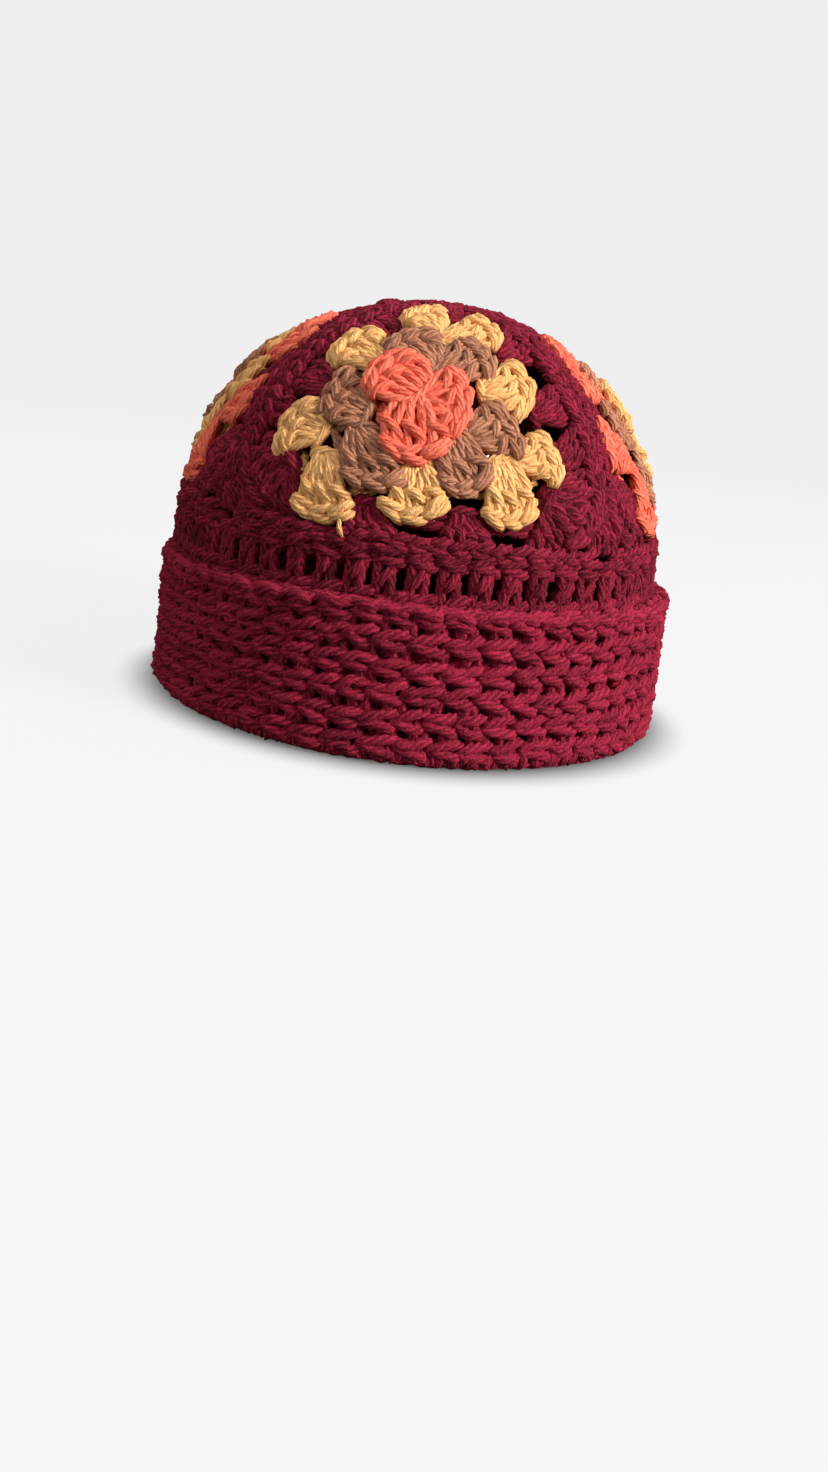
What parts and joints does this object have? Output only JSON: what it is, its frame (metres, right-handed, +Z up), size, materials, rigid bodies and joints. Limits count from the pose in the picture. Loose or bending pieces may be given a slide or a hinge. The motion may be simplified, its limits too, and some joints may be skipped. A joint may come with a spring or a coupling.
{
  "type": "crocheted granny motif beanie with folded cuff",
  "caption": "Round crocheted beanie with an openwork crown of coloured three-cornered granny motifs, an open stitched band and a folded double cuff.",
  "frame": {"origin": "middle of the brim's foot, on the surface that the hat rests on", "axes": "+Z up through the crown, triangle 1 faces -Y"},
  "size_m": [0.1996, 0.1996, 0.1465],
  "materials": {
    "burgundy_yarn": "matte cotton blend yarn, deep burgundy",
    "orange_yarn": "matte yarn, coral orange",
    "brown_yarn": "matte yarn, warm brown",
    "mustard_yarn": "matte yarn, golden mustard"
  },
  "bodies": {
    "root": {"triangle_1_centre": "orange_yarn", "triangle_1_round_2": "brown_yarn", "triangle_1_round_3": "mustard_yarn", "triangle_1_border": "burgundy_yarn", "triangle_2_centre": "mustard_yarn", "triangle_2_round_2": "brown_yarn", "triangle_2_round_3": "orange_yarn", "triangle_2_border": "burgundy_yarn", "triangle_3_centre": "orange_yarn", "triangle_3_round_2": "brown_yarn", "triangle_3_round_3": "mustard_yarn", "triangle_3_border": "burgundy_yarn", "triangle_4_centre": "brown_yarn", "triangle_4_round_2": "mustard_yarn", "triangle_4_round_3": "orange_yarn", "triangle_4_border": "burgundy_yarn", "band": "burgundy_yarn", "cuff": "burgundy_yarn"}
  },
  "joints": []
}
